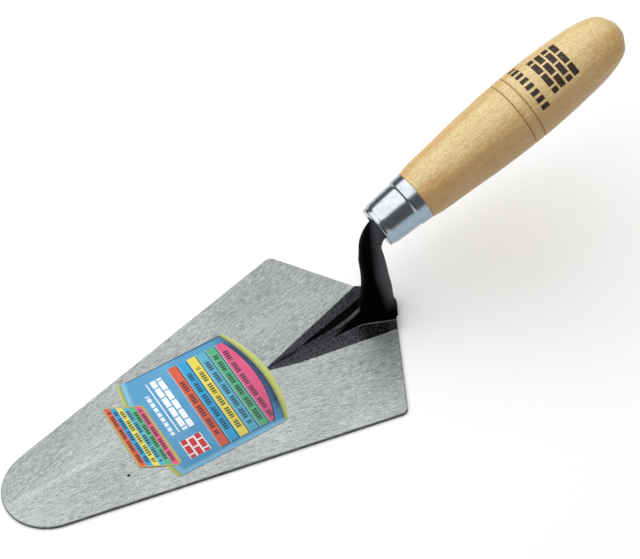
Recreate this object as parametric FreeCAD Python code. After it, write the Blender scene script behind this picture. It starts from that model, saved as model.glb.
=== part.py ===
"""Brick trowel: forged blade with its boss and shank, ferrule, turned handle, two labels.

Millimetres. +X runs from the tip of the blade to the butt of the handle, +Y is to the
side and +Z is up. The blade's flat underside lies on z = 0 and the origin is under the
middle of the blade's length.
"""
import math
import os

import FreeCAD
import Part
from FreeCAD import Vector

# ---- driving dimensions -------------------------------------------------------------
BLADE_LENGTH = 200.0        # tip to the point of the heel
BLADE_WIDTH = 117.7         # across the shoulders
BLADE_THICK = 1.4
HEEL_RAKE = 31.9            # the shoulders lie this far in front of the heel's point
TIP_RADIUS = 23.0
SHOULDER_RADIUS = 3.5
EDGE_ROUND = 0.3            # softening of the blade's upper edge

PAD_LENGTH = 69.5           # black boss, from its point to the point of the heel
PAD_GROWTH_LEFT = 0.308     # half-width on +Y gained per millimetre from its point
PAD_GROWTH_RIGHT = 0.262    # and on -Y, where the boss is ground a little narrower
PAD_DEPTH = 0.8             # how far the boss sinks into the blade, so the two join

BEND_RADIUS = 12.9          # centre line of the bend from the shank into the tang
SHANK_TOP_RADIUS = 5.2      # where the bend starts
SHANK_END_RADIUS = 5.0      # where the bend ends, inside the handle
SHANK_END = 4.5             # distance of that end behind the ferrule's front

HANDLE_PITCH = 18.3         # rise of the handle above the blade, in degrees
FERRULE_FRONT = Vector(95.16, 0.0, BLADE_THICK + 50.07)
FERRULE_LENGTH = 22.2
FERRULE_STEP = 16.6         # distance of the step from the ferrule's front
FERRULE_WALL = 0.9
FERRULE_MOUTH = 6.3         # radius of the hole in the turned-in front
RIM_RADIUS = 10.05          # rolled bead round the ferrule's front
BODY_RADIUS = 11.15         # end of the tapered front part
BAND_RADIUS = 11.8          # start of the larger rear band
BAND_END_RADIUS = 12.05
HANDLE_LENGTH = 139.3       # from the ferrule's front to the butt
GROOVES = (78.2, 83.4)      # distance of the two turned grooves from the ferrule's front
GROOVE_DEPTH = 0.45
GROOVE_HALF = 0.6

TANG_LENGTH = 80.0
TANG_RADIUS = 4.7
TANG_TIP_RADIUS = 2.2

LABEL_THICK = 0.15
LABEL_CENTRE = Vector(-2.7, -0.3, 0.0)
LABEL_TURN = -1.9           # degrees about Z

HEEL_X = BLADE_LENGTH / 2
TIP_X = -BLADE_LENGTH / 2
SHOULDER_X = HEEL_X - HEEL_RAKE
AXIS = Vector(math.cos(math.radians(HANDLE_PITCH)), 0.0,
              math.sin(math.radians(HANDLE_PITCH)))


# ---- small helpers ------------------------------------------------------------------
def polygon(points):
    """Closed wire through the points."""
    return Part.makePolygon(list(points) + [points[0]])


def prism(wire, height):
    return Part.Face(wire).extrude(Vector(0, 0, height))


def spline(points, start=None, end=None):
    """Smooth edge through the points, with end directions where they are given."""
    curve = Part.BSplineCurve()
    if start is not None and end is not None:
        curve.interpolate(points, InitialTangent=start, FinalTangent=end)
    else:
        curve.interpolate(points)
    return curve.toShape()


def on_handle(shape):
    """Move a shape turned about Z so that it lies along the handle's axis."""
    turn = FreeCAD.Rotation(Vector(0, 0, 1), AXIS)
    placed = shape.copy()
    placed.Placement = FreeCAD.Placement(FERRULE_FRONT, turn).multiply(placed.Placement)
    return placed


def revolve(edges):
    """Full turn about Z of a profile in the XZ plane, given as (radius, height) edges."""
    return Part.Face(Part.Wire(edges)).revolve(Vector(0, 0, 0), Vector(0, 0, 1), 360)


def line(a, b):
    return Part.LineSegment(Vector(a[0], 0, a[1]), Vector(b[0], 0, b[1])).toShape()


def curve_rz(points, start=None, end=None):
    """Smooth profile edge through (radius, height) points."""
    ends = [None if d is None else Vector(d[0], 0, d[1]) for d in (start, end)]
    return spline([Vector(r, 0, z) for r, z in points], ends[0], ends[1])


# ---- the forging --------------------------------------------------------------------
def heel_outline(offset, half_width):
    """Closed wire in front of the V-shaped heel, pushed back by the offset."""
    slope = HEEL_RAKE / (BLADE_WIDTH / 2)
    push = offset * math.sqrt(1 + slope * slope)
    point = HEEL_X + push
    side = point - slope * half_width
    return polygon([Vector(TIP_X, -half_width, -20), Vector(side, -half_width, -20),
                    Vector(point, 0, -20), Vector(side, half_width, -20),
                    Vector(TIP_X, half_width, -20)])


def blade():
    """Flat plate with a round tip, straight sides, square shoulders and a V-shaped heel."""
    half = BLADE_WIDTH / 2
    taper = side_angle()
    centre = Vector(TIP_X + TIP_RADIUS, 0, 0)
    upper = centre + Vector(-math.sin(taper), math.cos(taper), 0) * TIP_RADIUS
    lower = Vector(upper.x, -upper.y, 0)
    tip = Vector(TIP_X, 0, 0)
    left = Vector(SHOULDER_X, half, 0)
    right = Vector(SHOULDER_X, -half, 0)
    heel = Vector(HEEL_X, 0, 0)
    outline = Part.Wire([
        Part.Arc(lower, tip, upper).toShape(),
        Part.LineSegment(upper, left).toShape(),
        Part.LineSegment(left, heel).toShape(),
        Part.LineSegment(heel, right).toShape(),
        Part.LineSegment(right, lower).toShape(),
    ])
    plate = prism(outline, BLADE_THICK)
    corners = [e for e in plate.Edges
               if abs(e.BoundBox.ZLength - BLADE_THICK) < 1e-6
               and abs(e.BoundBox.XMin - SHOULDER_X) < 1e-6]
    plate = plate.makeFillet(SHOULDER_RADIUS, corners)
    rim = [e for e in plate.Edges
           if e.BoundBox.ZMin > BLADE_THICK - 1e-6 and e.BoundBox.ZMax < BLADE_THICK + 1e-6
           and e.BoundBox.XMax < HEEL_X - 1.0]
    return plate.makeChamfer(EDGE_ROUND, rim)


def side_angle():
    """Angle between the centre line and a side that touches the tip's arc."""
    run = SHOULDER_X - (TIP_X + TIP_RADIUS)
    rise = BLADE_WIDTH / 2
    return math.atan2(rise, run) - math.asin(TIP_RADIUS / math.hypot(run, rise))


def pad_section(x, crease_left, crease_right, crease_z):
    """Cross-section of the boss: sloping facets, a crease each side, a shallow hollow."""
    left = 0.15 + PAD_GROWTH_LEFT * (x - (HEEL_X - PAD_LENGTH))
    right = 0.15 + PAD_GROWTH_RIGHT * (x - (HEEL_X - PAD_LENGTH))
    base = BLADE_THICK - PAD_DEPTH
    top = BLADE_THICK
    p = [Vector(x, -right, base), Vector(x, left, base), Vector(x, left, top),
         Vector(x, crease_left, top + crease_z), Vector(x, -crease_right, top + crease_z),
         Vector(x, -right, top)]
    dip = Vector(x, 0, top + 0.5 * crease_z)
    hollow = spline([p[3], dip, p[4]])
    edges = [Part.LineSegment(p[i], p[(i + 1) % 6]).toShape() for i in (0, 1, 2)]
    edges += [hollow]
    edges += [Part.LineSegment(p[i], p[(i + 1) % 6]).toShape() for i in (4, 5)]
    return Part.Wire(edges)


def pad():
    """The long three-cornered boss that spreads the shank into the blade."""
    # distance from the boss's point, crease on +Y, crease on -Y, height of the creases
    stations = [(0.4, 0.08, 0.08, 0.06), (8.0, 0.7, 0.7, 0.8), (19.0, 1.8, 2.1, 1.5),
                (33.0, 3.7, 4.0, 1.95), (43.0, 5.8, 5.2, 2.25), (50.0, 7.2, 6.5, 2.5),
                (56.5, 9.4, 9.9, 2.8), (61.0, 12.2, 12.4, 3.0), (70.5, 16.4, 16.4, 3.1)]
    point = HEEL_X - PAD_LENGTH
    wires = [pad_section(point + s, left, right, z) for s, left, right, z in stations]
    solid = Part.makeLoft(wires, True, False)
    return solid.common(prism(heel_outline(0.0, 40.0), 60.0))


def fin():
    """The ridge along the boss, which climbs into the front of the shank."""
    stations = [(6.0, 0.9, 0.45), (14.0, 1.5, 1.35), (21.5, 2.0, 2.0), (29.0, 2.4, 2.35),
                (36.0, 2.9, 2.8), (42.0, 3.5, 3.7), (47.0, 4.3, 5.2), (51.0, 5.0, 7.4),
                (54.5, 5.5, 10.6), (57.5, 5.6, 14.5)]
    point = HEEL_X - PAD_LENGTH
    wires = []
    for s, half, height in stations:
        x = point + s
        base = BLADE_THICK - 0.3
        shape = [(1.0, 0.0), (0.62, 0.24), (0.33, 0.62), (0.15, 0.90), (0.0, 1.0)]
        rise = [Vector(x, k * half, base + h * (height + 0.3)) for k, h in shape]
        fall = [Vector(v.x, -v.y, v.z) for v in reversed(rise[:-1])]
        flank = spline(rise + fall)
        foot = Part.LineSegment(fall[-1], rise[0]).toShape()
        wires.append(Part.Wire([flank, foot]))
    return Part.makeLoft(wires, True, False)


def oval(centre, across, long_half, side_half):
    """Closed smooth wire: long_half along the direction across, side_half along Y."""
    points = []
    for i in range(16):
        t = 2 * math.pi * i / 16
        points.append(centre + across * (long_half * math.cos(t))
                      + Vector(0, side_half * math.sin(t), 0))
    curve = Part.BSplineCurve()
    curve.interpolate(points, PeriodicFlag=True)
    return Part.Wire([curve.toShape()])


def shank():
    """Round neck: a flared foot, an upright stem and the bend into the handle's axis."""
    # height above the blade's top, front x, rear x, half-width in Y
    stem = [(-1.4, 75.5, 101.0, 10.4), (1.2, 78.6, 100.35, 9.1), (3.6, 80.9, 99.5, 8.1),
            (7.0, 82.7, 98.95, 7.4), (12.0, 83.9, 98.85, 6.9), (19.0, 84.85, 98.1, 6.5),
            (27.0, 85.0, 97.3, 6.2), (35.0, 84.9, 96.35, 5.75)]
    wires = []
    for z, front, rear, side in stem:
        centre = Vector((front + rear) / 2, 0, BLADE_THICK + z)
        wires.append(oval(centre, Vector(1, 0, 0), (rear - front) / 2, side))
    turn = math.radians(90.0 - HANDLE_PITCH)
    end = FERRULE_FRONT + AXIS * SHANK_END
    hub = end + Vector(math.cos(turn), 0, -math.sin(turn)) * BEND_RADIUS
    for i in range(8):
        t = turn * i / 7
        out = Vector(-math.cos(t), 0, math.sin(t))
        radius = SHANK_TOP_RADIUS + (SHANK_END_RADIUS - SHANK_TOP_RADIUS) * i / 7
        wires.append(oval(hub + out * BEND_RADIUS, out * -1.0, radius, radius))
    neck = Part.makeLoft(wires, True, False)
    return neck.common(prism(heel_outline(1.0, 40.0), 200.0).fuse(above_foot()))


def above_foot():
    """Everything above the boss, where the shank is not trimmed to the heel."""
    return Part.makeBox(200, 80, 200, Vector(0, -40, BLADE_THICK + 8.0))


def tang():
    """Tapered spike that continues the shank inside the handle."""
    root = SHANK_END - 1.5
    profile = [line((0, root), (TANG_RADIUS, root)),
               line((TANG_RADIUS, root), (TANG_TIP_RADIUS, TANG_LENGTH)),
               line((TANG_TIP_RADIUS, TANG_LENGTH), (0, TANG_LENGTH)),
               line((0, TANG_LENGTH), (0, root))]
    return on_handle(revolve(profile))


def blade_forging():
    body = blade()
    for piece in (pad(), fin(), shank(), tang()):
        body = body.fuse(piece)
    return body.removeSplitter()


# ---- ferrule and handle -------------------------------------------------------------
def ferrule_outer():
    """Outside of the ferrule: rolled bead, tapered front, step, larger rear band."""
    rim = RIM_RADIUS
    body = BODY_RADIUS
    step = FERRULE_STEP
    return [
        line((FERRULE_MOUTH, 0.0), (rim - 0.6, 0.0)),
        curve_rz([(rim - 0.6, 0.0), (rim - 0.15, 0.2), (rim, 0.6), (rim - 0.18, 1.25)],
                 (1, 0), (0.0, 1)),
        curve_rz([(rim - 0.18, 1.25), (rim + 0.2, 2.4), (rim + 0.55, 5.0), (rim + 0.83, 9.0),
                  (body - 0.1, 12.5), (body, step - 0.9)], (0.1, 1), (0, 1)),
        curve_rz([(body, step - 0.9), (body + 0.08, step - 0.35), (body + 0.36, step + 0.1),
                  (BAND_RADIUS, step + 0.9)], (0, 1), (0.05, 1)),
        line((BAND_RADIUS, step + 0.9), (BAND_END_RADIUS, FERRULE_LENGTH)),
    ]


def ferrule_inner():
    """Inside of the ferrule, from its rear edge to the back of its lip."""
    step = FERRULE_STEP
    corners = [(BAND_END_RADIUS - FERRULE_WALL, FERRULE_LENGTH),
               (BAND_RADIUS - FERRULE_WALL, step + 0.9),
               (BODY_RADIUS - FERRULE_WALL, step - 0.6),
               (RIM_RADIUS - FERRULE_WALL, FERRULE_WALL)]
    return [line(a, b) for a, b in zip(corners, corners[1:])]


def ferrule():
    """Stepped steel sleeve, pressed on the handle's front end."""
    profile = ferrule_outer()
    profile += [line((BAND_END_RADIUS, FERRULE_LENGTH),
                     (BAND_END_RADIUS - FERRULE_WALL, FERRULE_LENGTH))]
    profile += ferrule_inner()
    profile += [line((RIM_RADIUS - FERRULE_WALL, FERRULE_WALL), (FERRULE_MOUTH, FERRULE_WALL)),
                line((FERRULE_MOUTH, FERRULE_WALL), (FERRULE_MOUTH, 0.0))]
    return on_handle(revolve(profile))


def handle():
    """Turned beech grip with a spigot inside the ferrule, two grooves and a round butt."""
    start = BAND_END_RADIUS - 0.05
    swell = [(start, FERRULE_LENGTH), (12.7, 25.9), (13.7, 37.4), (15.1, 55.4),
             (15.95, 71.4), (16.27, 86.4), (15.87, 101.4), (15.2, 112.4),
             (14.12, 122.9), (12.2, 130.6), (9.5, 135.5), (5.3, 138.5), (0.0, HANDLE_LENGTH)]
    grip = curve_rz(swell, (0.55, 3.0), (-1, 0))
    profile = [line((0, FERRULE_WALL), (RIM_RADIUS - FERRULE_WALL, FERRULE_WALL))]
    profile += list(reversed(ferrule_inner()))
    profile += [line((BAND_END_RADIUS - FERRULE_WALL, FERRULE_LENGTH),
                     (start, FERRULE_LENGTH)), grip,
                line((0, HANDLE_LENGTH), (0, FERRULE_WALL))]
    wood = revolve(profile)
    for s in GROOVES:
        r = 16.16 if s < 80.0 else 16.25
        cut = [line((r - GROOVE_DEPTH, s), (r + 1.0, s - GROOVE_HALF * (1 + 1 / GROOVE_DEPTH))),
               line((r + 1.0, s - GROOVE_HALF * (1 + 1 / GROOVE_DEPTH)),
                    (r + 1.0, s + GROOVE_HALF * (1 + 1 / GROOVE_DEPTH))),
               line((r + 1.0, s + GROOVE_HALF * (1 + 1 / GROOVE_DEPTH)), (r - GROOVE_DEPTH, s))]
        wood = wood.cut(revolve(cut))
    return on_handle(wood).cut(shank()).cut(tang())


# ---- labels -------------------------------------------------------------------------
def on_blade(shape):
    turn = FreeCAD.Rotation(Vector(0, 0, 1), LABEL_TURN)
    placed = shape.copy()
    placed.Placement = FreeCAD.Placement(LABEL_CENTRE + Vector(0, 0, BLADE_THICK), turn)
    return placed


def round_corners(solid, radius):
    height = solid.BoundBox.ZLength
    corners = [e for e in solid.Edges if abs(e.BoundBox.ZLength - height) < 1e-6]
    return solid.makeFillet(radius, corners)


def label_main():
    """Barrel-shaped film label with a strongly bowed side towards the heel."""
    a = Vector(-27.3, 30.8, 0)
    b = Vector(27.2, 31.4, 0)
    c = Vector(27.2, -29.8, 0)
    d = Vector(-27.3, -30.6, 0)
    outline = Part.Wire([
        Part.LineSegment(a, b).toShape(),
        Part.Arc(b, Vector(34.3, 0.5, 0), c).toShape(),
        Part.LineSegment(c, d).toShape(),
        Part.Arc(d, Vector(-30.8, 0, 0), a).toShape(),
    ])
    return on_blade(round_corners(prism(outline, LABEL_THICK), 2.2))


def label_stripes():
    """Slanted film label that laps over the tip side of the main label."""
    outline = polygon([Vector(-38.6, 23.6, 0), Vector(-22.2, 14.4, 0),
                       Vector(-22.4, -25.6, 0), Vector(-39.4, -15.8, 0)])
    film = round_corners(prism(outline, 2 * LABEL_THICK), 1.8)
    return on_blade(film).cut(label_main())


NODES = {
    "blade_forging": blade_forging,
    "ferrule": ferrule,
    "handle": handle,
    "label_main": label_main,
    "label_stripes": label_stripes,
}

os.makedirs("parts", exist_ok=True)
for name, make in NODES.items():
    shape = make()
    print(name, shape.ShapeType, "solids", len(shape.Solids), "valid", shape.isValid(),
          "volume", round(shape.Volume, 1), shape.BoundBox)
    shape.exportStep("parts/" + name + ".step")
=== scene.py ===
"""Brick trowel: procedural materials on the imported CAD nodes, with studio floor, light and camera.

Blender 4.5, metres. Materials are worked out in millimetres in the row's frame: +X from
the blade's tip to the butt of the handle, +Y to the side, +Z up, underside on z = 0.
"""
import math

import bpy
from mathutils import Matrix, Vector

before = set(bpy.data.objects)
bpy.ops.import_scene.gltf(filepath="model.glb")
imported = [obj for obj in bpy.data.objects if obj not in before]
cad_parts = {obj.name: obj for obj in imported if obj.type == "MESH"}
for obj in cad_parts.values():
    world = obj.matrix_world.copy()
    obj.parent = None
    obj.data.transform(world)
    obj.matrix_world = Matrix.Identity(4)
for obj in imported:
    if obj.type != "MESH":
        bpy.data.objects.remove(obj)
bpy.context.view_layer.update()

# ---- the forging, in millimetres ----------------------------------------------------
BLADE_TOP = 1.4
SIDE_ANGLE = math.radians(13.6)     # between a side of the blade and its centre line
SHANK_CENTRE = 91.2
PAD_POINT = 30.5                    # where the black boss starts; s is counted from here

# straight lines on the boss: slope and offset of the distance from the centre line over s
PAINT_LEFT = (0.302, 0.1)           # edge of the lacquer on the +Y side
PAINT_RIGHT_FRONT = (0.34, 1.2)     # on the -Y side the edge bends once
PAINT_RIGHT_REAR = (0.21, 3.1)
CREASE_LEFT = (0.205, -3.05)        # inner edge of the grey facet, dust and painted sheen, on the +Y side
CREASE_RIGHT_FRONT = (0.13, -0.4)   # on the -Y side it bends once too
CREASE_RIGHT_REAR = (0.535, -20.2)
FACET_HEIGHT = 3.9                  # the facets end this far above the blade
RIDGE_ACROSS = (-0.95, -0.05)       # painted highlight along the ridge, in y and in s
RIDGE_ALONG = (17.0, 50.5)
HOLLOW_START = 44.0                 # the -Y hollow is black from here at y = 0, and starts
HOLLOW_SLANT = 2.6                  # this much earlier for every mm towards -Y

# the shank's rear side, painted light: grey over the black lacquer
REAR_FACING = (0.84, -0.53)         # x and y of the way it faces
REAR_START = 2.0                    # where it starts, that way from the shank's centre
REAR_BEND = BLADE_TOP + 26.0        # below this height it starts further out,
REAR_SHIFT = 0.18                   # by this much per mm

EDGE_BAND = (0.2, 1.04)             # heights between which the thin edge is darker
STREAK_X = (-96.0, -48.0)           # a paler streak down the middle near the tip
STREAK_Y = 1.0

# black specks in the blade's top: x, y and radius
SPECKS = ((-48.2, -15.7, 0.75), (4.0, 42.0, 0.3), (-13.5, 34.8, 0.25), (47.0, 29.1, 0.3),
          (39.6, 26.5, 0.2), (66.5, -28.9, 0.25), (-97.0, 2.6, 0.3), (-66.3, -21.3, 0.2))

# ---- the handle: s from the ferrule's front, in millimetres; angles in degrees ------
HANDLE_PITCH = math.radians(18.3)
HANDLE_START = (95.16, 51.47)       # x and z of the ferrule's front, on the axis
HANDLE_RADIUS = 15.9
FERRULE_END = 22.2
GROOVES = (78.2, 83.4)
GROOVE_HALF = 0.35

# strips round the handle, 0 on top and positive towards +Y
TOP_HIGHLIGHT = (-34.0, 10.0)
FAR_STRIP = (15.0, 80.0)
NEAR_STRIP = (-66.0, -30.0)
SHADE_EDGE = 48.0                    # painted shade: the wood is darker from here round the -Y side
SHADE_END = -165.0
ZINC_SHADE_BLUE_FROM = 66.0               # painted shade: the ferrule is bluer and darker past this on both sides

# burnt mark: a panel of bricks and a row of dashes beside it
MARK_OFFSET = 5.0                   # the panel's middle lies this far from the top, towards -Y
MARK_PANEL = (95.0, 111.0)
MARK_PANEL_HALF = 10.2
MARK_BRICK = (7.0, 4.0, 1.0)        # length, height and joint
MARK_BAR = (87.2, 91.2)
MARK_BAR_ENDS = (-13.8, 14.6)
MARK_DASH = (3.6, 1.3)              # pitch and gap

# ---- the labels: u along and v across, from the main label's centre -----------------
LABEL_CENTRE = (-2.7, -0.3)
LABEL_TURN = math.radians(-1.9)
HEEL_ARC = (-60.5, 91.5)            # edge of the blue field: the arc's centre and radius
TIP_ARC = (107.1, 136.0)
FIELD_MIDDLE = 0.3
FIELD_HALF = 30.9

STRIPE_FIRST = -3.9
STRIPE_PITCH = 4.93
STRIPE_WIDTH = 4.1
STRIPE_LEAN = 0.016
STRIPE_ENDS = (-26.2, 26.8)
LAST_ARC = (-45.8, 3.5, 74.2)       # rounded far side of the last stripe: centre and radius

SIGN_U = (-14.2, -7.8)              # white panel of bricks
SIGN_V = (-8.4, 24.6)
SIGN_BRICK = (6.6, 3.2, 0.7)
RULE_U = (-15.9, -15.4)             # thin white line under it
DASH_U = (-19.4, -17.6)             # row of small white dashes
DASH_V = (-8.4, 18.0)
DASH = (3.3, 0.7)
EMBLEM_U = (-18.4, -8.2)            # white square with red bricks
EMBLEM_V = (-24.6, -13.4)
EMBLEM_BRICK = (5.6, 3.4, 0.8)
BLOCK = (1.5, 0.42)                 # blank blocks in place of letters: pitch and gap
BLOCK_GROUP = (8.3, 1.4)            # and of the groups in place of words
TEXT_BAND = (1.0, 3.2)              # edges of a line of blocks within its stripe
TEXT_ENDS = (-19.0, 18.0)           # the lines get 1 mm longer at both ends per stripe
TEXT_SHIFT = 1.7                    # how far each line's blocks are moved on

SMALL_START = -38.9                 # the small label's edge towards the tip, and its width
SMALL_LEAN = 0.014
SMALL_WIDTH = 16.2
SMALL_BODY = (0.035, 0.955)         # its coloured part, as a share of that width
SMALL_TOP = (0.561, 1.9)            # its slanted ends: slope and offset
SMALL_BOTTOM = (0.576, -38.5)
SMALL_RIM = 0.55                    # width of the rim at the slanted ends
SMALL_TEXT_BAND = (0.45, 2.1)
SMALL_TEXT_MARGIN = 2.5             # clear of blocks at the slanted ends
SMALL_TEXT_SHIFT = 1.3

# ---- depth of the fine relief in the surfaces, in metres ----------------------------
STEEL_RELIEF = 0.00005
ZINC_RELIEF = 0.00001
WOOD_RELIEF = 0.00005
FILM_RELIEF = 0.00004

# ---- camera, in metres --------------------------------------------------------------
CAMERA_AZIMUTH = math.radians(-26.18)
CAMERA_ELEVATION = math.radians(46.5)
CAMERA_ROLL = math.radians(-8.28)
CAMERA_DISTANCE = 0.917
CAMERA_SHIFT = (0.0340, -0.00926)   # how far the aim sits right of and above the lens's axis
CAMERA_AIM = Vector((0.100, 0.0, 0.0014))
CAMERA_LENS = 112.5
CAMERA_SENSOR = 36.0
CAMERA_NEAR = 0.01

# ---- floor and light, in metres -----------------------------------------------------
FLOOR_HALF = 4.0
FLOOR_HEIGHT = -0.0002
FLOOR_COLOUR = (0.95, 0.95, 0.95, 1.0)
SOFTBOX_PLACE = (-0.25, 0.62, 1.3)
SOFTBOX_SIZE = (2.7, 2.55)
SOFTBOX_POWER = 42.0
SURROUND_COLOUR = (1.0, 1.0, 1.0, 1.0)
SURROUND = 0.14


# ---- colours ------------------------------------------------------------------------
def srgb(r, g, b):
    """Linear colour from 0..255 display values."""
    def one(c):
        c /= 255.0
        return c / 12.92 if c <= 0.04045 else ((c + 0.055) / 1.055) ** 2.4
    return (one(r), one(g), one(b), 1.0)


STEEL = srgb(136, 140, 138)
STEEL_DARK = srgb(68, 71, 70)
STEEL_LIGHT = srgb(204, 209, 207)
PIT = srgb(40, 40, 38)
LACQUER = srgb(3, 3, 5)
# grey of dust and painted sheen on the black lacquer
LACQUER_DUST_AND_SHEEN = srgb(90, 91, 96)
# painted highlight on the lacquer
LACQUER_HIGHLIGHT = srgb(150, 153, 158)
EDGE_DARK = srgb(40, 38, 36)
ZINC = srgb(178, 183, 188)
ZINC_DULL = srgb(154, 160, 164)
# painted shade on the ferrule
ZINC_SHADE_BLUE = srgb(150, 172, 184)
WOOD_LIGHT = srgb(231, 218, 166)
WOOD_MID = srgb(213, 180, 118)
WOOD_WARM = srgb(194, 138, 74)
WOOD_FLECK = srgb(134, 88, 46)
# painted shade on the handle's -Y side
WOOD_SHADED = srgb(184, 152, 110)
BURNT = srgb(40, 23, 24)
LABEL_BLUE = srgb(72, 147, 192)
LABEL_BLUE_DARK = srgb(30, 46, 80)
LABEL_BLUE_LIGHT = srgb(140, 194, 222)
LABEL_RIM = srgb(192, 203, 124)
LABEL_RIM_DARK = srgb(146, 150, 66)
LABEL_RIM_WARM = srgb(182, 162, 88)
STRIPE_SHADOW = srgb(24, 44, 70)
STRIPE_SHINE = srgb(176, 206, 214)
INK = srgb(22, 26, 40)
WHITE = srgb(240, 244, 248)
BRICK_RED = srgb(206, 52, 50)
STRIPES = (srgb(212, 92, 62), srgb(46, 158, 206), srgb(226, 212, 84),
           srgb(86, 172, 198), srgb(86, 172, 124), srgb(214, 86, 128))


# ---- node graphs as arithmetic ------------------------------------------------------
# sockets of the Mix node when it mixes colours
MIX_FACTOR, MIX_A, MIX_B = 0, 6, 7
MIX_RESULT = 2


class Field:
    """A number that varies over a surface. Arithmetic on it adds Math nodes."""

    def __init__(self, tree, socket):
        self.tree = tree
        self.socket = socket

    def op(self, name, *others, clamp=False):
        node = self.tree.nodes.new("ShaderNodeMath")
        node.operation = name
        node.use_clamp = clamp
        for slot, value in zip(node.inputs, (self,) + others):
            feed(self.tree, slot, value)
        return Field(self.tree, node.outputs[0])

    def __add__(self, other):
        return self.op("ADD", other)

    def __sub__(self, other):
        return self.op("SUBTRACT", other)

    def __mul__(self, other):
        return self.op("MULTIPLY", other)

    def __truediv__(self, other):
        return self.op("DIVIDE", other)

    def __neg__(self):
        return self.op("MULTIPLY", -1.0)

    def abs(self):
        return self.op("ABSOLUTE")

    def min(self, other):
        return self.op("MINIMUM", other)

    def max(self, other):
        return self.op("MAXIMUM", other)

    def whole(self):
        return self.op("FLOOR")

    def clamped(self):
        """The field held between 0 and 1."""
        return self.op("ADD", 0.0, clamp=True)

    def hypot(self, other):
        return (self * self + other * other).op("SQRT")

    def line(self, slope_and_offset):
        """A straight line over the field."""
        slope, offset = slope_and_offset
        return self * slope + offset

    def swing(self, amount):
        """Noise of about 0 to 1 turned into about half the amount up or down."""
        return (self - 0.5) * amount

    def above(self, edge, soft=0.12):
        """1 where the field is above the edge, 0 below, over a soft width."""
        return ((self - edge) / soft).op("ADD", 0.5, clamp=True)

    def below(self, edge, soft=0.12):
        """1 where the field is below the edge, 0 above, over a soft width."""
        return ((-self + edge) / soft).op("ADD", 0.5, clamp=True)

    def between(self, low, high, soft=0.12):
        return self.above(low, soft) * self.below(high, soft)


def feed(tree, slot, value):
    """Connect a Field or a socket to an input, or set the input to a plain value."""
    if isinstance(value, Field):
        tree.links.new(value.socket, slot)
    elif isinstance(value, bpy.types.NodeSocket):
        tree.links.new(value, slot)
    else:
        slot.default_value = value


def vector(tree, x, y, z):
    node = tree.nodes.new("ShaderNodeCombineXYZ")
    for slot, value in zip(node.inputs, (x, y, z)):
        feed(tree, slot, value)
    return node.outputs[0]


def position(tree):
    """The surface point's x, y and z in millimetres."""
    coords = tree.nodes.new("ShaderNodeTexCoord")
    split = tree.nodes.new("ShaderNodeSeparateXYZ")
    tree.links.new(coords.outputs["Object"], split.inputs[0])
    return tuple(Field(tree, out) * 1000.0 for out in split.outputs)


def noise(tree, x, y, z, detail=2.0, rough=0.5, warp=0.0):
    """Smooth noise, about 0 to 1, with one feature per unit of x, y and z."""
    node = tree.nodes.new("ShaderNodeTexNoise")
    node.inputs["Scale"].default_value = 1.0
    node.inputs["Detail"].default_value = detail
    node.inputs["Roughness"].default_value = rough
    node.inputs["Distortion"].default_value = warp
    tree.links.new(vector(tree, x, y, z), node.inputs["Vector"])
    return Field(tree, node.outputs["Fac"])


def scattered(tree, x, y, z):
    """Distance to the nearest of many scattered points, one per unit."""
    node = tree.nodes.new("ShaderNodeTexVoronoi")
    node.inputs["Scale"].default_value = 1.0
    node.inputs["Randomness"].default_value = 1.0
    tree.links.new(vector(tree, x, y, z), node.inputs["Vector"])
    return Field(tree, node.outputs["Distance"])


def blend(tree, factor, a, b):
    """Colour a where the factor is 0 and b where it is 1."""
    node = tree.nodes.new("ShaderNodeMix")
    node.data_type = "RGBA"
    feed(tree, node.inputs[MIX_FACTOR], factor)
    feed(tree, node.inputs[MIX_A], a)
    feed(tree, node.inputs[MIX_B], b)
    return node.outputs[MIX_RESULT]


def bump(tree, height, distance):
    """Surface relief: a height field of about 0 to 1 and its depth in metres."""
    node = tree.nodes.new("ShaderNodeBump")
    node.inputs["Strength"].default_value = 1.0
    node.inputs["Distance"].default_value = distance
    feed(tree, node.inputs["Height"], height)
    return node.outputs[0]


def new_material(name):
    """Empty material with a Principled shader: returns material, tree and shader."""
    material = bpy.data.materials.new(name)
    material.use_nodes = True
    tree = material.node_tree
    return material, tree, tree.nodes["Principled BSDF"]


# ---- patterns that several pieces share ---------------------------------------------
def dashes(v, pitch_and_gap):
    """An endless row of plain dashes."""
    pitch, gap = pitch_and_gap
    phase = (v / pitch - (v / pitch).whole()) * pitch
    return phase.above(gap)


def bricks(along, across, brick):
    """1 inside the bricks of a running bond, 0 in the joints between them."""
    length, height, joint = brick
    row = (across / height).whole()
    shifted = along / length + row * 0.5
    u = (shifted - shifted.whole()) * length
    v = (across / height - row) * height
    return u.between(joint / 2, length - joint / 2) * v.between(joint / 2, height - joint / 2)


def degrees_round(side, up):
    """Angle round the handle: 0 on top, positive towards +Y."""
    return side.op("ARCTAN2", up) * (180.0 / math.pi)


# ---- the forging: ground steel and black lacquer ------------------------------------
def ground_streaks(tree, x, y, side):
    """Short and long grinding streaks parallel to one side edge; side is +1 or -1 in Y."""
    c, s = math.cos(SIDE_ANGLE), math.sin(SIDE_ANGLE) * side
    along = x * c + y * s
    across = y * c - x * s
    fine = noise(tree, along * 0.26, across * 2.4, 3.0 * side, detail=3.0, rough=0.6)
    wide = noise(tree, along * 0.06, across * 0.75, 7.0 * side, detail=2.0)
    return fine, wide


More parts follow.
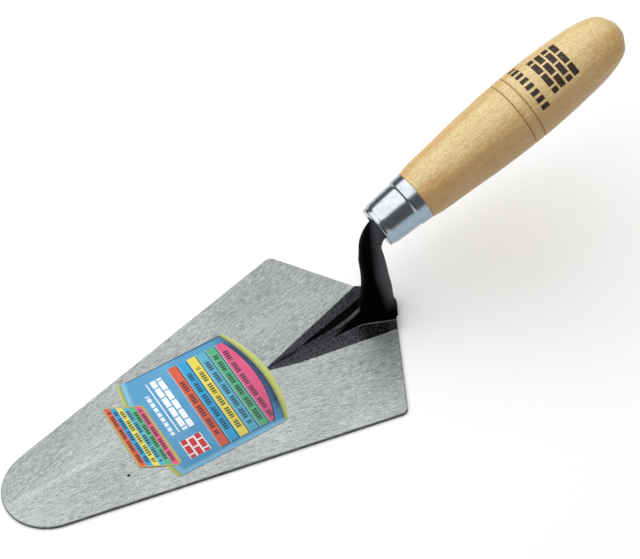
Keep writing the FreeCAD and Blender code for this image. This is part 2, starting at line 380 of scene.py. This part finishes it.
def steel_colour(tree, x, y, z):
    """Ground steel. Returns its colour, the fine streaks, their grain and the pits."""
    upper, upper_wide = ground_streaks(tree, x, y, 1.0)
    lower, lower_wide = ground_streaks(tree, x, y, -1.0)
    wander = noise(tree, x * 0.03, y * 0.2, 1.0).swing(8.0)
    half = (y + wander).above(0.0, 5.0)
    fine = lower + (upper - lower) * half
    wide = lower_wide + (upper_wide - lower_wide) * half
    grain = noise(tree, x * 1.9, y * 1.9, z, detail=3.0, rough=0.7)
    cloud = noise(tree, x * 0.02, y * 0.03, 5.0, detail=3.0)
    shade = fine.swing(1.7) + wide.swing(0.45) + grain.swing(1.3) + cloud.swing(0.5)
    # painted shade: the steel darkens towards +X and +Y, at the far shoulder
    shade = shade - (x + y) * 0.0005
    steel = blend(tree, (shade + 0.5).clamped(), STEEL_DARK, STEEL_LIGHT)
    steel = blend(tree, 0.25, steel, STEEL)

    pits = scattered(tree, x * 0.055, y * 0.055, 0.5).below(0.02, 0.012)
    for speck_x, speck_y, radius in SPECKS:
        pits = pits.max((x - speck_x).hypot(y - speck_y).below(radius, 0.25))
    steel = blend(tree, pits * z.above(0.5, 0.2), steel, PIT)
    streak = (y - STREAK_Y + wander * 0.15).abs().below(1.2, 2.5) * x.between(*STREAK_X, 12.0)
    steel = blend(tree, streak * fine.above(0.42, 0.3) * 0.35, steel, STEEL_LIGHT)
    # the thin side edge is darker
    steel = blend(tree, z.between(*EDGE_BAND, 0.06) * 0.9, steel, EDGE_DARK)
    return steel, fine, grain, pits


def lacquer_mask(tree, x, y, z):
    """1 on the black lacquer, 0 on bare steel: the boss, with a ragged edge, and the shank."""
    s = x - PAD_POINT
    ragged = noise(tree, x * 0.8, y * 0.8, 2.0, detail=3.0).swing(0.7)
    left = s.line(PAINT_LEFT) - y
    right = s.line(PAINT_RIGHT_FRONT).min(s.line(PAINT_RIGHT_REAR)) + y
    paint = (left.min(right) + ragged).above(0.0, 0.15) * z.above(0.06, 0.05)
    return paint.max(z.above(BLADE_TOP + 0.45, 0.1))


def boss_dust_and_sheen(s, y, crease_right, low, speckle):
    """How grey the boss is, 0 to 1, dust and painted sheen: its two facets and the front of its -Y
    hollow.
    """
    crease_left = s.line(CREASE_LEFT).max(0.0)
    left_facet = (y - crease_left).above(0.1, 0.5)
    right_facet = (-y - crease_right).above(0.1, 0.5)
    facet = left_facet.max(right_facet) * low
    # the ridge's -Y flank is grey with dust and painted sheen up to a slanting, ragged line, past
    # which the hollow is black
    flank = (s - y * HOLLOW_SLANT + speckle.swing(12.0)).below(HOLLOW_START, 4.0)
    flank = flank * y.below(-0.2, 0.5) * low
    # less grey, dust and painted sheen, towards the heel, and nearly none before the heel on the -Y
    # side
    left_dust_and_sheen = s.above(23.0, 10.0) * -0.09 - s.above(48.0, 9.0) * 0.11 + 0.47
    right_dust_and_sheen = s.above(45.0, 8.0) * -0.55 + s.above(57.5, 3.0) * 0.22 + 0.52
    level = left_dust_and_sheen + (right_dust_and_sheen - left_dust_and_sheen) * y.below(0.0, 1.0)
    return (facet.max(flank * 0.75) * (speckle.swing(3.57) + level)).clamped()


def lacquer_colour(tree, x, y, z):
    """Black in the hollows; grey on the boss's facets, dust and painted sheen; a painted highlight
    on its ridge and on the -Y crease, and painted light on the shank's rear side.
    """
    s = x - PAD_POINT
    speckle = noise(tree, x * 1.4, y * 1.4, z * 1.4, detail=4.0, rough=0.75)
    grain = speckle.swing(1.7)
    low = z.below(BLADE_TOP + FACET_HEIGHT, 0.5)
    crease_right = s.line(CREASE_RIGHT_FRONT).max(s.line(CREASE_RIGHT_REAR))
    # dust and painted sheen on the facets; the hollows stay black
    dust = boss_dust_and_sheen(s, y, crease_right, low, speckle)
    colour = blend(tree, dust, LACQUER, LACQUER_DUST_AND_SHEEN)

    # painted highlight along the ridge's crest
    ridge = y.between(*RIDGE_ACROSS, 0.45) * s.between(*RIDGE_ALONG, 2.0)
    ridge = ridge * (s.above(44.0, 18.0) * 0.4 + grain * 0.7 + 0.14)
    colour = blend(tree, ridge.clamped(), colour, LACQUER_HIGHLIGHT)
    # painted highlight along the crease of the -Y facet
    lip = (y + crease_right).abs().below(0.3, 0.3) * s.above(38.0, 3.0) * low
    lip = lip * (s.above(48.0, 8.0) * 0.16 + grain * 0.6 + 0.14)
    colour = blend(tree, lip.clamped(), colour, LACQUER_HIGHLIGHT)

    # painted light on the shank's rear side, grey with speckle
    shift = (-z + REAR_BEND).max(0.0) * REAR_SHIFT
    rear = (x - SHANK_CENTRE) * REAR_FACING[0] + y * REAR_FACING[1] - shift
    rear = rear.above(REAR_START, 4.0) * z.above(BLADE_TOP + 8.0, 9.0)
    return blend(tree, (rear * (grain * 1.6 + 0.85)).clamped(), colour, LACQUER_DUST_AND_SHEEN)


def forging_material():
    material, tree, shader = new_material("ground_steel_and_lacquer")
    x, y, z = position(tree)
    steel, fine, grain, pits = steel_colour(tree, x, y, z)
    paint = lacquer_mask(tree, x, y, z)
    bare = -paint + 1.0
    feed(tree, shader.inputs["Base Color"],
         blend(tree, paint, steel, lacquer_colour(tree, x, y, z)))
    feed(tree, shader.inputs["Metallic"], bare)
    worn = noise(tree, x * 0.5, y * 0.5, z * 0.5, detail=4.0, rough=0.65)
    steel_rough = fine.swing(0.22) + 0.46
    lacquer_rough = worn.swing(0.2) + 0.4
    feed(tree, shader.inputs["Roughness"], steel_rough + (lacquer_rough - steel_rough) * paint)
    shader.inputs["Specular IOR Level"].default_value = 0.015
    peel = noise(tree, x * 1.3, y * 1.3, z * 1.3, detail=2.0)
    relief = (fine + grain * 0.6) * bare + peel * paint * 0.8 - pits
    feed(tree, shader.inputs["Normal"], bump(tree, relief, STEEL_RELIEF))
    return material


# ---- the ferrule: bright zinc -------------------------------------------------------
def handle_axes(tree):
    """Distance along the handle from the ferrule's front, height above the axis, and y."""
    x, y, z = position(tree)
    c, s = math.cos(HANDLE_PITCH), math.sin(HANDLE_PITCH)
    dx = x - HANDLE_START[0]
    dz = z - HANDLE_START[1]
    return dx * c + dz * s, dz * c - dx * s, y


def ferrule_material():
    material, tree, shader = new_material("bright_zinc")
    s, up, side = handle_axes(tree)
    rings = noise(tree, s * 5.0, up * 0.05, side * 0.05, detail=3.0, rough=0.6)
    cloud = noise(tree, s * 0.25, up * 0.25, side * 0.25, detail=3.0)
    spots = noise(tree, s * 1.4, up * 1.4, side * 1.4, detail=4.0, rough=0.7)
    zinc = blend(tree, cloud.swing(1.6) + spots * 0.5, ZINC, ZINC_DULL)
    # painted shade: bluer and darker round the sides and underside
    around = degrees_round(side, up) + cloud.swing(20.0)
    zinc = blend(tree, around.abs().above(ZINC_SHADE_BLUE_FROM, 14.0) * 0.8, zinc, ZINC_SHADE_BLUE)
    feed(tree, shader.inputs["Base Color"], zinc)
    shader.inputs["Metallic"].default_value = 1.0
    feed(tree, shader.inputs["Roughness"], spots.swing(0.12) + cloud.swing(0.08) + 0.22)
    feed(tree, shader.inputs["Normal"], bump(tree, rings * 0.5 + spots * 0.5, ZINC_RELIEF))
    return material


# ---- the handle: varnished beech ----------------------------------------------------
def handle_mark(tree, s, up, side, around):
    """1 where the mark is burnt in: a panel of bricks and a row of dashes."""
    arc = around * (math.pi / 180.0) * HANDLE_RADIUS + MARK_OFFSET
    panel = s.between(*MARK_PANEL, 0.25) * arc.between(-MARK_PANEL_HALF, MARK_PANEL_HALF, 0.25)
    panel = panel * bricks(arc, s - MARK_PANEL[0], MARK_BRICK)
    bar = s.between(*MARK_BAR, 0.25) * arc.between(*MARK_BAR_ENDS, 0.25)
    bar = bar * dashes(arc - 0.4, MARK_DASH)
    uneven = noise(tree, s * 1.6, up * 1.6, side * 1.6, detail=3.0).above(0.3, 0.12)
    return panel.max(bar) * uneven


def handle_material():
    material, tree, shader = new_material("varnished_beech")
    s, up, side = handle_axes(tree)
    around = degrees_round(side, up)
    broad = noise(tree, s * 0.012, up * 0.09, side * 0.09, detail=3.0, warp=0.6)
    lines = noise(tree, s * 0.03, up * 0.9, side * 0.9, detail=3.0, rough=0.6)
    fibre = noise(tree, s * 0.22, up * 3.2, side * 3.2, detail=3.0, rough=0.65)
    fleck = noise(tree, s * 0.34, up * 2.4 + 9.0, side * 2.4, detail=1.0)
    patch = noise(tree, s * 0.04, up * 0.12 + 4.0, side * 0.12, detail=2.0)
    pores = noise(tree, s * 0.9, up * 2.6 + 5.0, side * 2.6, detail=3.0, rough=0.75)

    wood = blend(tree, broad.above(0.5, 0.3), WOOD_LIGHT, WOOD_MID)
    wood = blend(tree, lines.above(0.56, 0.25) * 0.5, wood, WOOD_WARM)
    wood = blend(tree, fibre.above(0.54, 0.3) * 0.5, wood, WOOD_WARM)
    wood = blend(tree, fibre.below(0.42, 0.2) * 0.35, wood, WOOD_LIGHT)
    flecks = fleck.above(0.67, 0.06) * patch.above(0.45, 0.2)
    wood = blend(tree, flecks * 0.7, wood, WOOD_FLECK)
    # painted highlight: palest along the top; warmer up the far side, and warm low down at both ends
    wood = blend(tree, around.between(*TOP_HIGHLIGHT, 16.0) * 0.3, wood, WOOD_LIGHT)
    far = around.between(*FAR_STRIP, 25.0) * patch.above(0.5, 0.3) * s.below(85.0, 30.0)
    wood = blend(tree, far * 0.45, wood, WOOD_WARM)
    ends = s.below(36.0, 14.0).max(s.above(112.0, 24.0) * 0.5)
    ends = ends * around.between(*NEAR_STRIP, 16.0)
    wood = blend(tree, ends * (lines * 0.7 + 0.1), wood, WOOD_WARM)
    # painted shade down the -Y side, its border wandering along the grip
    border = s.above(75.0, 40.0) * 13.0 + broad.swing(24.0)
    shaded_side = (-around - border).above(SHADE_EDGE, 11.0) * around.above(SHADE_END, 20.0)
    wood = blend(tree, shaded_side * (s.below(108.0, 24.0) * 0.35 + 0.27), wood, WOOD_SHADED)
    wood = blend(tree, pores.above(0.53, 0.1) * 0.42, wood, WOOD_WARM)
    wood = blend(tree, pores.below(0.46, 0.1) * (-shaded_side + 1.0) * 0.42, wood, WOOD_LIGHT)

    # darker in the turned grooves and just behind the ferrule
    dark_lines = s.below(FERRULE_END + 0.45, 0.4)
    for middle in GROOVES:
        dark_lines = dark_lines.max(s.between(middle - GROOVE_HALF, middle + GROOVE_HALF, 0.3))
    wood = blend(tree, dark_lines * 0.54, wood, WOOD_FLECK)
    mark = handle_mark(tree, s, up, side, around)
    wood = blend(tree, mark * 0.97, wood, BURNT)

    feed(tree, shader.inputs["Base Color"], wood)
    feed(tree, shader.inputs["Roughness"], fibre.swing(0.2) + mark * 0.3 + 0.44)
    shader.inputs["Specular IOR Level"].default_value = 0.2
    shader.inputs["Coat Weight"].default_value = 0.15
    shader.inputs["Coat Roughness"].default_value = 0.25
    relief = fibre * 0.6 + lines * 0.4 - fleck.above(0.69, 0.06) * 0.3 - mark * 0.8
    feed(tree, shader.inputs["Normal"], bump(tree, relief, WOOD_RELIEF))
    return material


# ---- the labels: printed film -------------------------------------------------------
def label_axes(tree):
    """Millimetres from the main label's centre, along and across it."""
    x, y, _ = position(tree)
    c, s = math.cos(LABEL_TURN), math.sin(LABEL_TURN)
    dx = x - LABEL_CENTRE[0]
    dy = y - LABEL_CENTRE[1]
    return dx * c + dy * s, dy * c - dx * s


def block_text(v, at, band, shift):
    """A line of blank blocks in groups, where a label would carry words."""
    blocks = dashes(v + shift, BLOCK) * dashes(v + shift * 2.3, BLOCK_GROUP)
    return blocks * at.between(*band)


def film(tree, shader, u, v, print_colour):
    """The print under a film that both labels share: dust, gloss and faint orange peel."""
    peel = noise(tree, u * 0.7, v * 0.7, 1.0, detail=2.0)
    dust = noise(tree, u * 2.2, v * 2.2, 4.0, detail=4.0, rough=0.7)
    feed(tree, shader.inputs["Base Color"],
         blend(tree, dust.above(0.66, 0.2) * 0.18, print_colour, WHITE))
    feed(tree, shader.inputs["Roughness"], dust.swing(0.16) + 0.34)
    shader.inputs["Specular IOR Level"].default_value = 0.12
    shader.inputs["Coat Weight"].default_value = 0.08
    shader.inputs["Coat Roughness"].default_value = 0.12
    feed(tree, shader.inputs["Normal"], bump(tree, peel + dust * 0.3, FILM_RELIEF))


def blue_field(tree, u, v, heel_gap, tip_gap):
    """The blue ground, darker towards the heel and along +Y, paler along -Y and at the tip."""
    side_gap = -(v - FIELD_MIDDLE).abs() + FIELD_HALF
    fade = noise(tree, u * 0.05, v * 0.05, 3.0, detail=2.0)
    colour = blend(tree, fade.swing(0.8) + 0.15, LABEL_BLUE, LABEL_BLUE_LIGHT)
    deep = heel_gap.below(3.6, 4.5) * v.between(-24.0, 28.0, 14.0)
    deep = deep.max(heel_gap.below(0.55, 0.7))
    deep = deep.max(side_gap.below(0.7, 1.0) * v.above(0.0, 4.0))
    colour = blend(tree, deep * 0.9, colour, LABEL_BLUE_DARK)
    bright = side_gap.between(0.2, 2.6, 1.4) * v.below(0.0, 4.0)
    bright = bright.max(tip_gap.between(0.0, 2.2, 1.6))
    return blend(tree, bright * 0.75, colour, LABEL_BLUE_LIGHT)


def main_stripes(tree, u, v, colour):
    """Six leaning stripes with a shadow, a shine and blank blocks, the last one rounded off."""
    start, end = STRIPE_ENDS
    for i, ink in enumerate(STRIPES):
        at = u - v * STRIPE_LEAN - (STRIPE_FIRST + STRIPE_PITCH * i)
        far = -at + STRIPE_WIDTH
        if i == len(STRIPES) - 1:
            far = -(u - LAST_ARC[0]).hypot(v - LAST_ARC[1]) + LAST_ARC[2]
        shadow = at.above(0.2) * far.above(-0.55) * v.between(start - 0.5, end - 0.6)
        shine = at.above(-0.35) * far.above(0.3) * v.between(start, end)
        stripe = at.above(0.0) * far.above(0.0) * v.between(start, end)
        colour = blend(tree, shadow, colour, STRIPE_SHADOW)
        colour = blend(tree, shine * 0.8, colour, STRIPE_SHINE)
        colour = blend(tree, stripe, colour, ink)
        text = block_text(v, at, TEXT_BAND, i * TEXT_SHIFT)
        text = text * v.between(TEXT_ENDS[0] - i, TEXT_ENDS[1] + i)
        colour = blend(tree, text * 0.85, colour, INK)
    return colour


def main_signs(tree, u, v, colour):
    """Plain signs in place of the print: white bricks, rule and dashes, and red bricks."""
    wall = bricks(v, u - SIGN_U[0], SIGN_BRICK) * u.between(*SIGN_U) * v.between(*SIGN_V)
    rule = u.between(*RULE_U) * v.between(*SIGN_V)
    row = dashes(v, DASH) * v.between(*DASH_V) * u.between(*DASH_U)
    colour = blend(tree, wall.max(rule).max(row * 0.85), colour, WHITE)
    emblem = u.between(*EMBLEM_U) * v.between(*EMBLEM_V)
    colour = blend(tree, emblem, colour, WHITE)
    wall = bricks(v, u - EMBLEM_U[0], EMBLEM_BRICK)
    return blend(tree, emblem * wall, colour, BRICK_RED)


def label_main_material():
    material, tree, shader = new_material("printed_film_main")
    u, v = label_axes(tree)
    heel_gap = -(u - HEEL_ARC[0]).hypot(v) + HEEL_ARC[1]
    tip_gap = -(u - TIP_ARC[0]).hypot(v) + TIP_ARC[1]
    colour = blue_field(tree, u, v, heel_gap, tip_gap)
    colour = main_stripes(tree, u, v, colour)
    colour = main_signs(tree, u, v, colour)
    # the label is darker towards -Y; outside the blue field lies the yellow-green rim
    colour = blend(tree, v.below(-8.0, 36.0) * 0.26, colour, STRIPE_SHADOW)
    inner = heel_gap.min(tip_gap)
    outer_rim = inner.below(-0.9, 1.6) * (v.above(2.0, 50.0) * 0.5 + 0.5)
    rim = blend(tree, outer_rim, LABEL_RIM_DARK, LABEL_RIM)
    colour = blend(tree, inner.below(0.0, 0.3), colour, rim)
    film(tree, shader, u, v, colour)
    return material


def label_stripes_material():
    material, tree, shader = new_material("printed_film_stripes")
    u, v = label_axes(tree)
    # across: 0 at the tip side, 1 at the heel side; top and bottom: distance to a slanted end
    across = (u - v * SMALL_LEAN - SMALL_START) / SMALL_WIDTH
    top = -(v + u * SMALL_TOP[0] - SMALL_TOP[1]) / math.hypot(1.0, SMALL_TOP[0])
    bottom = (v + u * SMALL_BOTTOM[0] - SMALL_BOTTOM[1]) / math.hypot(1.0, SMALL_BOTTOM[0])
    first, last = SMALL_BODY
    ends = top.min(bottom)
    body = across.between(first, last, 0.012) * ends.above(SMALL_RIM)
    inside = body * ends.above(SMALL_TEXT_MARGIN)
    colour = LABEL_RIM_WARM
    for i, ink in enumerate(STRIPES):
        low = first + (last - first) * i / len(STRIPES)
        colour = blend(tree, body * across.above(low, 0.008), colour, ink)
        at = (across - low) * SMALL_WIDTH
        text = block_text(v, at, SMALL_TEXT_BAND, i * SMALL_TEXT_SHIFT) * inside
        colour = blend(tree, text * 0.84, colour, INK)
    film(tree, shader, u, v, colour)
    return material


# ---- dress the CAD nodes ------------------------------------------------------------
LOOKS = {
    "blade_forging": forging_material,
    "ferrule": ferrule_material,
    "handle": handle_material,
    "label_main": label_main_material,
    "label_stripes": label_stripes_material,
}
for node_name, make in LOOKS.items():
    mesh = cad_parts[node_name].data
    mesh.materials.clear()
    mesh.materials.append(make())


# ---- studio -------------------------------------------------------------------------
def add_object(name, data):
    """New object in the scene that carries the given data."""
    item = bpy.data.objects.new(name, data)
    bpy.context.scene.collection.objects.link(item)
    return item


def floor():
    """Pale ground sheet just under the blade."""
    corners = [(-FLOOR_HALF, -FLOOR_HALF, FLOOR_HEIGHT), (FLOOR_HALF, -FLOOR_HALF, FLOOR_HEIGHT),
               (FLOOR_HALF, FLOOR_HALF, FLOOR_HEIGHT), (-FLOOR_HALF, FLOOR_HALF, FLOOR_HEIGHT)]
    mesh = bpy.data.meshes.new("floor")
    mesh.from_pydata(corners, [], [(0, 1, 2, 3)])
    sheet = add_object("floor", mesh)
    material, _, shader = new_material("pale_floor")
    shader.inputs["Base Color"].default_value = FLOOR_COLOUR
    shader.inputs["Roughness"].default_value = 0.9
    mesh.materials.append(material)


def lights():
    """One large softbox overhead and a dim even surround."""
    data = bpy.data.lights.new("softbox", "AREA")
    data.shape = "RECTANGLE"
    data.size, data.size_y = SOFTBOX_SIZE
    data.energy = SOFTBOX_POWER
    lamp = add_object("softbox", data)
    lamp.location = SOFTBOX_PLACE
    world = bpy.data.worlds.new("studio")
    world.use_nodes = True
    background = world.node_tree.nodes["Background"]
    background.inputs["Color"].default_value = SURROUND_COLOUR
    background.inputs["Strength"].default_value = SURROUND
    bpy.context.scene.world = world


def tone():
    """Plain display transform, so that the pale floor stays pale."""
    bpy.context.scene.view_settings.view_transform = "Standard"


def camera():
    """Camera at the given direction, roll and distance from the heel of the blade."""
    a, e, r = CAMERA_AZIMUTH, CAMERA_ELEVATION, CAMERA_ROLL
    back = Vector((math.sin(a) * math.cos(e), -math.cos(a) * math.cos(e), math.sin(e)))
    level = Vector((0, 0, 1)).cross(back).normalized()
    above = back.cross(level)
    right = level * math.cos(r) + above * math.sin(r)
    up = above * math.cos(r) - level * math.sin(r)
    data = bpy.data.cameras.new("camera")
    data.lens = CAMERA_LENS
    data.sensor_width = CAMERA_SENSOR
    data.clip_start = CAMERA_NEAR
    eye = add_object("camera", data)
    place = CAMERA_AIM + back * CAMERA_DISTANCE - right * CAMERA_SHIFT[0] - up * CAMERA_SHIFT[1]
    turn = Matrix((right, up, back)).transposed().to_4x4()
    eye.matrix_world = Matrix.Translation(place) @ turn
    bpy.context.scene.camera = eye


floor()
lights()
tone()
camera()
